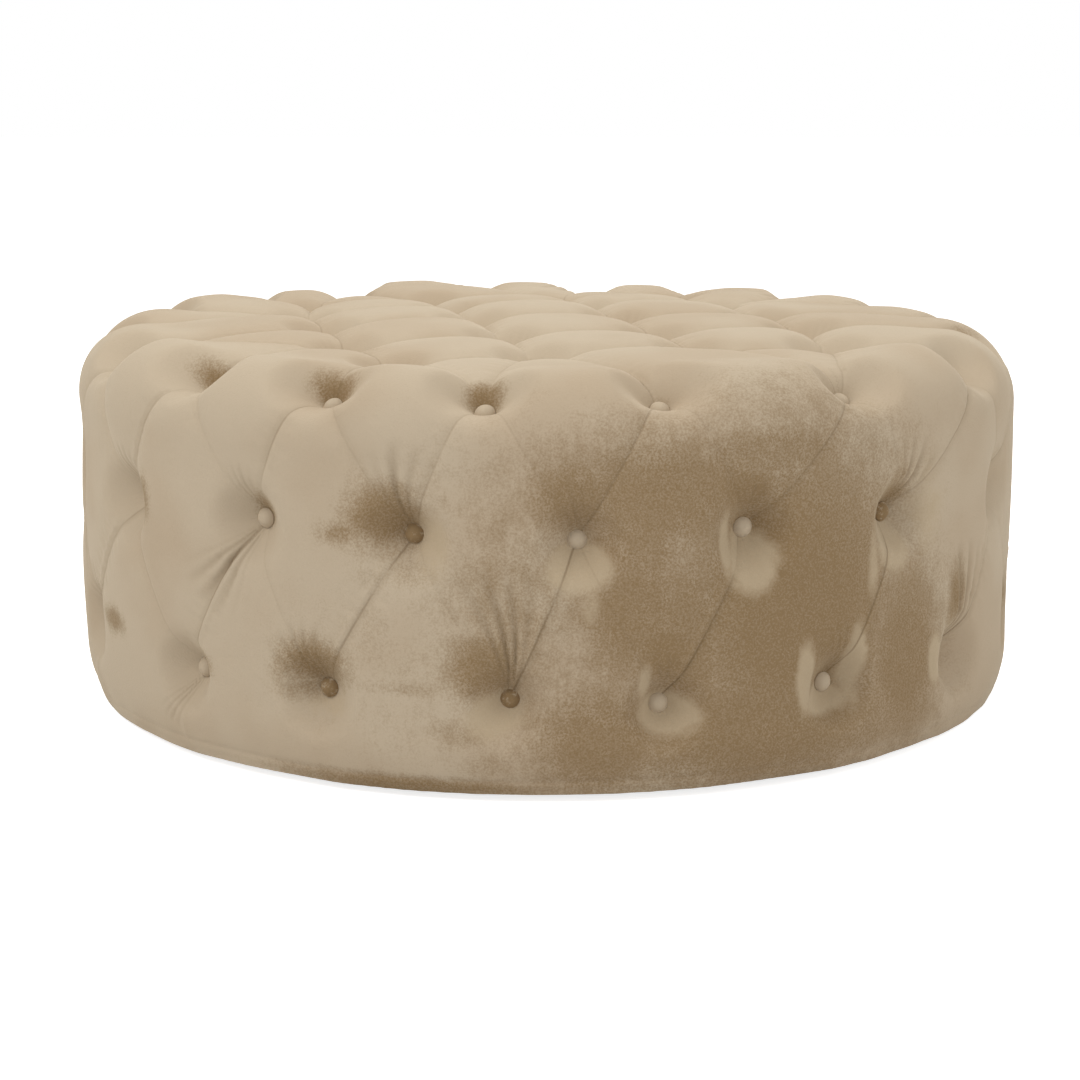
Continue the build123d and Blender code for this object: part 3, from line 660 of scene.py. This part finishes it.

# %% [markdown]
# Velvet has a short pile that lies over in patches: where it leans towards the eye the cloth
# looks darker and grainy, and where it leans away it looks pale. The photograph shows one large
# dark field right of the middle and many marks at the buttons. The marks at the buttons, dark
# above and beside and pale below, are partly nap and partly painted shade and painted light on
# the walls of the dimples. All are written down as soft ovals, each with its angle and travel up
# the side, its half width and half height, and its strength. A painted picture would do the
# same, but ovals stay sharp at any size.

# %% List the marks of the nap and of the painted dimple shade and light
dark_nap_and_shade_marks = (
    (27, 0.175, 17, 0.195, 1), (24, 0.060, 24, 0.090, 0.9), (43, 0.105, 8, 0.120, 0.9),
    (13, 0.290, 17, 0.075, 0.85), (24, 0.325, 17, 0.042, 0.75), (6, 0.055, 10, 0.075, 0.85),
    (9, 0.180, 8, 0.090, 0.85), (3, 0.290, 6, 0.052, 0.85), (9, 0.240, 8, 0.060, 0.8),
    (15, 0.150, 7, 0.120, 0.85), (-3, 0.190, 9, 0.150, 0.55), (-15, 0.120, 14, 0.110, 0.26),
    (-8, 0.300, 9, 0.050, 0.3), (-17, 0.268, 4.5, 0.034, 0.95), (-21, 0.252, 3.5, 0.014, 0.7),
    (-14, 0.215, 5, 0.018, 0.45), (-25.5, 0.118, 4.5, 0.027, 0.95), (-27, 0.090, 3, 0.014, 0.6),
    (-6.5, 0.125, 4.5, 0.042, 0.9), (-15, 0.104, 6, 0.010, 0.5), (-9, 0.062, 4, 0.020, 0.5),
    (21, 0.290, 5, 0.034, 1), (12.5, 0.140, 5, 0.042, 1), (31, 0.140, 4, 0.050, 1),
    (41.5, 0.268, 3, 0.020, 0.95), (-50.5, 0.258, 1.8, 0.024, 0.9), (-32.5, 0.262, 1.8, 0.017, 0.9),
    (-59.5, 0.114, 3, 0.015, 0.9), (-41.5, 0.098, 2.2, 0.015, 0.9), (53, 0.150, 2.2, 0.040, 0.9),
    (51, 0.098, 3, 0.014, 0.6), (-14, 0.006, 16, 0.011, 0.9), (-5, 0.030, 6, 0.022, 0.45),
    (-4, 0.240, 4, 0.030, 0.4), (40, 0.320, 4, 0.040, 0.4), (-45.5, 0.432, 3.4, 0.020, 1),
    (-26.2, 0.431, 3, 0.020, 1), (-7.3, 0.431, 2.2, 0.022, 1), (-65, 0.428, 3.5, 0.012, 0.5),
    (13.4, 0.430, 1.6, 0.010, 0.35), (41.5, 0.285, 2.4, 0.022, 0.7))
top_nap_and_shade_marks = (
    (-2.4, 0.606, 3.4, 0.018, 0.55), (-36, 0.590, 3, 0.016, 0.35), (25, 0.585, 3, 0.014, 0.25))
pale_nap_and_light_marks = (
    (3.5, 0.222, 3.2, 0.022, 1), (22, 0.222, 2.8, 0.028, 1), (19, 0.240, 1, 0.030, 0.8),
    (41, 0.222, 2.8, 0.028, 0.9), (13, 0.076, 3, 0.020, 1), (10.3, 0.110, 0.8, 0.022, 0.7),
    (28.5, 0.100, 1.3, 0.036, 0.9), (35.6, 0.108, 1.3, 0.042, 0.8), (32, 0.072, 3.4, 0.013, 1),
    (-5.5, 0.078, 3.2, 0.020, 0.8), (-12, 0.240, 2.4, 0.040, 0.6), (48.5, 0.092, 1.4, 0.026, 0.9),
    (4.5, 0.188, 1.2, 0.024, 0.5), (37.5, 0.205, 1, 0.040, 0.6), (-24, 0.075, 4, 0.014, 0.5),
    (47, 0.250, 3, 0.060, 0.5))
print("marks seen", len(dark_nap_and_shade_marks), "dark", len(top_nap_and_shade_marks), "on the top", len(pale_nap_and_light_marks), "pale")

# %% [markdown]
# Buttons that the photograph doesn't show get marks of the same kind from a fixed seed: dark
# ones of nap and painted shade beside and above them, pale ones of nap and painted light below,
# and three larger dark fields of nap at the back. All marks are then laid on the vertices as two
# numbers, which the material reads by name.

# %% Lay the nap and the painted dimple shade and light
mark_edge = 0.65
top_fade = 0.03
mark_rng = np.random.default_rng(29)


def unseen_marks():
    """Dark marks of nap and painted shade beside and above the buttons the photograph doesn't show, pale
    ones of nap and painted light below.
    """
    dark, pale = [], []
    travels, angles = crown_place(caps)[:2]
    for cap_travel, cap_angle in zip(travels, np.degrees(angles)):
        if abs(cap_angle) < seen_angle or cap_travel > edge_travel:
            continue
        to_side = mark_rng.choice((-3.0, 2.0))
        if mark_rng.random() < 0.75:
            dark.append((cap_angle + to_side, cap_travel + 0.014, mark_rng.uniform(2, 5),
                         mark_rng.uniform(0.016, 0.036), mark_rng.uniform(0.5, 1.0)))
        if mark_rng.random() < 0.6:
            pale.append((cap_angle + 1, cap_travel - 0.028, mark_rng.uniform(2, 3.5),
                         mark_rng.uniform(0.015, 0.026), mark_rng.uniform(0.5, 0.9)))
    dark += [(-128, 0.150, 20, 0.150, 0.8), (150, 0.190, 24, 0.150, 0.9), (100, 0.060, 16, 0.070, 0.6)]
    return dark, pale


def lay_marks(marks):
    """How strongly each vertex is marked, from 0 to 1."""
    total = np.zeros(len(travel))
    for mark_angle, mark_travel, half_angle, half_travel, strength in marks:
        turn = wrapped(angle - radians(mark_angle)) / radians(half_angle)
        away = np.hypot(turn, (travel - mark_travel) / half_travel)
        total = np.maximum(total, strength * np.clip((1 + mark_edge - away) / (2 * mark_edge), 0, 1))
    return total


more_dark, more_pale = unseen_marks()
near_top = np.clip((edge_travel + top_fade - travel) / top_fade, 0, 1)
side_dark = lay_marks([*dark_nap_and_shade_marks, *more_dark]) * near_top
store(cover, "nap_dark_and_shade", np.maximum(side_dark, lay_marks(top_nap_and_shade_marks)))
store(cover, "nap_pale_and_light", lay_marks([*pale_nap_and_light_marks, *more_pale]) * near_top)
print("marks laid", len(dark_nap_and_shade_marks) + len(more_dark), "dark", len(pale_nap_and_light_marks) + len(more_pale), "pale")

# %% [markdown]
# The cover is still open below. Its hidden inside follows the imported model: a flange under the
# base ring, a step round the ring, and a plain wall and ceiling round the padded drum. Extruding
# the open edge from one ring of this outline to the next lines it, and a fan closes the ceiling.
# Last the normals are made to point outwards and the open edges are counted: there must be none.

# %% Close the cover inside
flange_inside = 0.462
flange_top = 0.0113
ring_pocket_radius = 0.511
ring_pocket_top = 0.0299
inside_radius = 0.4746
inside_top = 0.3597
inside_outline = ((flange_inside, hem_level + flange_lift), (flange_inside, flange_top),
                  (ring_pocket_radius, flange_top), (ring_pocket_radius, ring_pocket_top),
                  (inside_radius, ring_pocket_top), (inside_radius, inside_top))


def close_inside(piece):
    """Line the opening of the cover and close it, with all faces outwards."""
    shape = bmesh.new()
    shape.from_mesh(piece.data)
    edge_loop = [edge for edge in shape.edges if edge.is_boundary]
    for ring_radius, height in inside_outline:
        grown = bmesh.ops.extrude_edge_only(shape, edges=edge_loop)["geom"]
        edge_loop = [part for part in grown if isinstance(part, bmesh.types.BMEdge) and part.is_boundary]
        for vertex in {vertex for edge in edge_loop for vertex in edge.verts}:
            scale = ring_radius / np.hypot(vertex.co.x, vertex.co.y)
            vertex.co = (vertex.co.x * scale, vertex.co.y * scale, height)
    centre = shape.verts.new((0, 0, inside_top))
    for edge in edge_loop:
        shape.faces.new((*edge.verts, centre)).smooth = True
    bmesh.ops.recalc_face_normals(shape, faces=shape.faces)
    open_edges = sum(not edge.is_manifold for edge in shape.edges)
    volume = shape.calc_volume(signed=True)
    shape.to_mesh(piece.data)
    shape.free()
    return open_edges, volume


open_edges, volume = close_inside(cover)
print("open edges", open_edges, "volume in litres", round(volume * 1000, 1))

# %% [markdown]
# A finish is a small graph of nodes. Writing it as sums and products keeps it readable, so one
# small class wraps a socket and turns Python's operators into Math nodes. Every other node comes
# from one method that takes its type, its settings and its inputs.

# %% Sums of sockets


class Value:
    """A socket that can be used in sums."""

    def __init__(self, paint, socket):
        self.paint = paint
        self.socket = socket

    def _with(self, operation, *values, clamp=False):
        return self.paint.node("ShaderNodeMath", {"operation": operation, "use_clamp": clamp}, *values)

    def __add__(self, other):
        return self._with("ADD", self, other)

    def __sub__(self, other):
        return self._with("SUBTRACT", self, other)

    def __rsub__(self, other):
        return self._with("SUBTRACT", other, self)

    def __mul__(self, other):
        return self._with("MULTIPLY", self, other)

    def clamp(self):
        return self._with("ADD", self, 0.0, clamp=True)

    def size(self):
        return self._with("ABSOLUTE", self)

    def bigger(self, other):
        return self._with("MAXIMUM", self, other)

    __radd__ = __add__
    __rmul__ = __mul__


def linear(red, green, blue):
    """A colour as the eye reads it, 0 to 255, turned into the linear values that shaders use."""
    shares = [part / 255 for part in (red, green, blue)]
    return tuple(s / 12.92 if s <= 0.04045 else ((s + 0.055) / 1.055) ** 2.4 for s in shares) + (1.0,)


print("middle grey in linear light", round(linear(128, 128, 128)[0], 3))

# %% Nodes of one material


class Paint:
    """One material and the means to add its nodes."""

    def __init__(self, name):
        self.material = bpy.data.materials.new(name)
        self.material.use_nodes = True
        self.tree = self.material.node_tree
        self.shader = self.tree.nodes["Principled BSDF"]

    def feed(self, socket, value):
        """Link a value of nodes to a socket, or set a plain one. None leaves the socket alone."""
        if isinstance(value, Value):
            self.tree.links.new(value.socket, socket)
        elif value is not None:
            socket.default_value = value

    def node(self, kind, settings, *inputs, output=0, **named):
        """Add a node with its settings and inputs, by order or by name, and give one output."""
        made = self.tree.nodes.new(kind)
        for name, value in settings.items():
            setattr(made, name, value)
        for index, value in enumerate(inputs):
            self.feed(made.inputs[index], value)
        for name, value in named.items():
            self.feed(made.inputs[name.replace("_", " ")], value)
        return Value(self, made.outputs[output])

    def set(self, **sockets):
        for name, value in sockets.items():
            self.feed(self.shader.inputs[name.replace("_", " ")], value)

    def place(self):
        """Object coordinates, which stay with the piece."""
        return self.node("ShaderNodeTexCoord", {}, output=3)

    def stretched(self, scale):
        return self.node("ShaderNodeMapping", {}, self.place(), Scale=scale)

    def kept(self, name):
        """A number stored at the vertices."""
        return self.node("ShaderNodeAttribute", {"attribute_name": name}, output=2)

    def noise(self, size, detail=2.0, rough=0.5, vector=None):
        return self.node("ShaderNodeTexNoise", {}, vector or self.place(), Scale=1 / size, Detail=detail,
                         Roughness=rough)

    def between(self, value, low, high):
        """0 below the first limit, 1 above the second, and a smooth step between."""
        smooth = {"interpolation_type": "SMOOTHSTEP"}
        return self.node("ShaderNodeMapRange", smooth, value, low, high, 0.0, 1.0)

    def mix(self, share, first, second):
        return self.node("ShaderNodeMix", {"data_type": "RGBA"}, share, None, None, None, None, None,
                         first, second, output=2)

    def bump(self, height, distance, strength=0.5):
        bumped = self.node("ShaderNodeBump", {}, Strength=strength, Distance=distance, Height=height)
        self.set(Normal=bumped)


def wear(nodes, material):
    """Give a material to pieces by node name."""
    for name in nodes:
        data = frame["nodes"][name].data
        data.materials.clear()
        data.materials.append(material)
        print(name, "wears", material.name)


# %% [markdown]
# The velvet mixes a few tones of one colour. The laid marks decide where the dark and pale tones
# go, and at the buttons these are partly painted shade and painted light. Noise frays their
# edges, and a fine grain breaks up the dark ones most, as it does where the pile faces the eye.
# Creases and gathers get painted shade: a darker colour where little light gets into them. A
# constant sheen brightens the edges of the puffs.

# %% Velvet of the cover
# The pale and dark tones are nap and, at the buttons, also painted light and painted shade of the dimples.
pale_pile_and_light = linear(180, 162, 135)
plain_pile = linear(183, 167, 144)
warm_pile = linear(177, 159, 135)
dark_pile_and_shade = linear(135, 112, 81)
# Painted shade colour for creases, crease lines and gathers.
crease_shade_colour = linear(108, 88, 60)
velvet_surface = {"Roughness": 0.88, "Specular_IOR_Level": 0.10, "Sheen_Weight": 0.35,
                  "Sheen_Roughness": 0.40, "Sheen_Tint": linear(232, 220, 196)}
patch_size = 0.16
fray_size = 0.030
brush_size = 0.012
brush_stretch = (1, 1, 0.35)
grain_size = 0.0021
pile_size = 0.0016
line_reach = (0.0003, 0.0017)
shade_start = (-0.009, -0.0005)
shade_end = (-0.0005, 0.001)


def nap_and_dimple_masks(paint, frayed, grain):
    """How dark and how pale the pile looks, with the painted shade and painted light of the dimples, and
    frayed and grainy edges.
    """
    brushed = paint.noise(brush_size, 4.0, 0.7, paint.stretched(brush_stretch))
    laid_dark, laid_pale = paint.kept("nap_dark_and_shade"), paint.kept("nap_pale_and_light")
    reach = laid_dark + (frayed - 0.5) + (brushed - 0.5) * 0.5 + (grain - 0.5) * 0.22
    dark = paint.between(reach, 0.10, 0.82) * (0.3 + laid_dark * 0.7).clamp()
    speckled = (dark * (0.80 + grain * 0.30) + (grain - 0.5) * 0.06).clamp()
    return speckled, paint.between(laid_pale + (frayed - 0.5) * 0.7, 0.22, 0.68)


def make_velvet():
    """The cover's velvet, with its laid marks, and painted shade in its creases and gathers."""
    paint = Paint("tan_velvet")
    slow = paint.noise(patch_size)
    frayed = paint.noise(fray_size, 6.0, 0.72)
    grain = paint.between(paint.noise(grain_size, 2.0, 0.65), 0.30, 0.70)
    pile = paint.noise(pile_size, 2.0, 0.6)
    across, crease = paint.kept("across"), paint.kept("crease")
    # Painted shade: a thin dark line along each crease, which is also a bump groove, and a soft shade on
    # one side of it.
    line = (1 - paint.between(across.size(), *line_reach)) * crease * paint.between(slow, 0.30, 0.55)
    shade = paint.between(across, *shade_start) * (1 - paint.between(across, *shade_end)) * crease
    dark, pale = nap_and_dimple_masks(paint, frayed, grain)
    colour = paint.mix(paint.between(slow, 0.38, 0.62), plain_pile, warm_pile)
    colour = paint.mix(dark, colour, dark_pile_and_shade)
    colour = paint.mix(pale * 0.8, colour, pale_pile_and_light)
    # Painted shade: the gathers, the crease lines and one side of each crease mix towards the crease shade
    # colour.
    for share in (paint.kept("folded") * 0.45, line * 0.55, shade * 0.16):
        colour = paint.mix(share, colour, crease_shade_colour)
    paint.set(Base_Color=colour, **velvet_surface)
    paint.bump(pile * 0.35 + grain * 0.30 + frayed * 0.5 - line * 1.6, 0.0008)
    return paint.material


velvet = make_velvet()
cover.data.materials.append(velvet)
print("velvet of", len(velvet.node_tree.nodes), "nodes")

# %% [markdown]
# The buttons are covered in the same cloth. A few of them show dark in the photograph, most
# because their pile leans the other way, and one, the upper cap at -14.5 degrees, because of the
# shading on its lower left, so there the darkening is painted shade. The material darkens round
# those centres. One material with a mask is simpler here than splitting four caps off their rows.

# %% Velvet of the buttons
# Rows and angles of the caps that show dark
dark_caps = ((lower_caps, -25), (lower_caps, -4), (upper_caps, -14.5), (upper_caps, 42))
dark_reach = (0.012, 0.016)
button_fray = 0.006


def make_button_velvet():
    """The same cloth on the buttons, dark on those that the photograph shows dark: nap, and painted shade
    on one of them.
    """
    paint = Paint("tan_velvet_buttons")
    place = paint.place()
    dark = None
    for row, cap_angle in dark_caps:
        centre = row[np.abs(angle_of(row) - radians(cap_angle)).argmin()]
        away = paint.node("ShaderNodeVectorMath", {"operation": "DISTANCE"}, place, tuple(centre), output=1)
        near = 1 - paint.between(away, *dark_reach)
        dark = near if dark is None else dark.bigger(near)
    frayed = paint.noise(button_fray, 4.0, 0.7)
    # Painted shade on the cap at -14.5 degrees; dark nap on the others.
    colour = paint.mix(dark * paint.between(frayed, 0.25, 0.50), plain_pile, dark_pile_and_shade)
    paint.set(Base_Color=colour, **velvet_surface)
    paint.bump(frayed, 0.0004)
    return paint.material


wear(button_nodes, make_button_velvet())

# %% [markdown]
# The pieces inside and below get plain workshop finishes: birch ply with its stretched grain,
# open foam, fluffy fibre, waxed twine, zinc plated steel, thin black cambric and black plastic.
# Most of them are two tones of a noise at the right size, so one function makes them all, and
# the cloth of crossed threads has its own.

# %% Make the other finishes
broad_factor = 7
thread_scale = 400.0
finish_depth = 0.0002


def make_finish(name, first, second, size, stretch=(1, 1, 1), detail=3.0, rough=0.6, metal=0.0):
    """A two tone finish with grain of this size, stretched along an axis."""
    paint = Paint(name)
    vector = paint.stretched(stretch)
    grain = paint.noise(size, detail, 0.6, vector)
    broad = paint.noise(size * broad_factor, 2.0, 0.5, vector)
    share = paint.between(grain * 0.6 + broad * 0.4, 0.38, 0.62)
    paint.set(Base_Color=paint.mix(share, first, second), Metallic=metal, Roughness=share * 0.15 + rough)
    paint.bump(grain, finish_depth)
    return paint.material


def make_cambric():
    """Thin black cloth of crossed threads."""
    paint = Paint("black_cambric")
    across, along = [paint.node("ShaderNodeTexWave", {"bands_direction": axis}, paint.place(),
                                Scale=thread_scale) for axis in ("X", "Y")]
    thread = across * along
    paint.set(Base_Color=paint.mix(thread, linear(20, 20, 21), linear(48, 48, 50)), Roughness=0.9)
    paint.bump(thread, finish_depth)
    return paint.material


by_slot = {
    "plywood": make_finish("birch_plywood", linear(196, 164, 118), linear(222, 194, 150), 0.006, (1, 9, 1)),
    "steel": make_finish("zinc_steel", linear(150, 150, 152), linear(186, 186, 188), 0.002, rough=0.35,
                         metal=1.0),
    "twine": make_finish("waxed_twine", linear(176, 158, 122), linear(206, 190, 156), 0.0012, (1, 1, 6)),
    "foam": make_finish("open_foam", linear(232, 222, 178), linear(244, 238, 204), 0.0016, detail=5.0,
                        rough=0.85),
    "fibre": make_finish("white_fibre", linear(228, 228, 224), linear(246, 246, 244), 0.004, (4, 1, 1),
                         rough=0.85),
    "glide": make_finish("black_plastic", linear(22, 22, 23), linear(34, 34, 36), 0.0008, rough=0.45),
    "cambric": make_cambric(),
}
print("finishes", sorted(by_slot))

# %% Put them on
for subpart in frame["record"]["subparts"]:
    if subpart["material_slot"] in by_slot:
        wear([subpart["node"]], by_slot[subpart["material_slot"]])

# %% [markdown]
# The camera stands where the photographer stood: a little over two and a half metres in front
# of the pouf, at table height, looking slightly down. Its lens is the focal length in pixels
# over the frame's width in pixels, times the sensor. The picture's middle lies a few pixels to
# one side, which the lens shift copies.

# %% Camera
camera_distance = 4.8 * pouf_radius
camera_height = 1.244 * pouf_radius + hem_level
camera_pitch = 0.200
focal_pixels = 2217
frame_pixels = 1080
sensor = 36.0
principal_x = 547

camera_data = bpy.data.cameras.new("camera")
camera_data.sensor_width = sensor
camera_data.lens = focal_pixels / frame_pixels * sensor
camera_data.shift_x = (frame_pixels / 2 - principal_x) / frame_pixels
camera = bpy.data.objects.new("camera", camera_data)
camera.location = (0, -camera_distance, camera_height)
camera.rotation_euler = (pi / 2 - camera_pitch, 0, 0)
bpy.context.scene.collection.objects.link(camera)
bpy.context.scene.camera = camera
print("camera at", [round(v, 3) for v in camera.location], "lens", round(camera_data.lens, 1))

# %% [markdown]
# The room is a white floor that runs to the horizon. A lit white floor comes out grey far away,
# so a little emission that only the camera sees lifts it to the white of the background, and the
# pouf's shadow stays on it.

# %% Floor
floor_size = 60.0
floor_white = (0.86, 0.86, 0.86, 1)
lift = 0.78

bpy.ops.mesh.primitive_plane_add(size=floor_size, location=(0, 0, 0))
floor = bpy.context.object
floor.name = "floor"
ground = Paint("white_floor")
seen = ground.node("ShaderNodeLightPath", {}, output=0)
ground.set(Base_Color=floor_white, Roughness=0.9, Specular_IOR_Level=0.1, Emission_Color=(1, 1, 1, 1),
           Emission_Strength=seen * lift)
floor.data.materials.append(ground.material)
print("floor", floor_size, "wide")

# %% [markdown]
# The light in the photograph is soft and even, strongest from above and the left. Four round
# lamps, each wider than the pouf, give that: a key, one overhead, a fill and one behind. The
# world adds a pale glow all round, and shows as white where the camera sees it.

# %% Lamps and world
aim = Vector((0, 0, 0.25))
room_glow = 0.54
# Place, width and power of each lamp
lamps = {"key": ((-1.9, -1.9, 2.6), 2.2, 48), "top": ((0.0, 0.3, 2.6), 2.6, 24),
         "fill": ((2.6, -2.0, 1.5), 2.6, 26), "back": ((0.4, 2.4, 2.0), 2.0, 18)}

for name, (spot, width, power) in lamps.items():
    data = bpy.data.lights.new(name, "AREA")
    data.shape = "DISK"
    data.size = width
    data.energy = power
    lamp = bpy.data.objects.new(name, data)
    lamp.location = spot
    lamp.rotation_euler = (aim - Vector(spot)).to_track_quat("-Z", "Y").to_euler()
    bpy.context.scene.collection.objects.link(lamp)

world = bpy.data.worlds.new("white_room")
world.use_nodes = True
bpy.context.scene.world = world
background = world.node_tree.nodes["Background"]
path = world.node_tree.nodes.new("ShaderNodeLightPath")
pick = world.node_tree.nodes.new("ShaderNodeMix")
pick.inputs["A"].default_value = room_glow
pick.inputs["B"].default_value = 1.0
world.node_tree.links.new(path.outputs["Is Camera Ray"], pick.inputs["Factor"])
world.node_tree.links.new(pick.outputs["Result"], background.inputs["Strength"])
background.inputs["Color"].default_value = (1, 1, 1, 1)
bpy.context.scene.view_settings.view_transform = "Standard"
print("lamps", len(lamps), "power in all", sum(lamp[2] for lamp in lamps.values()))
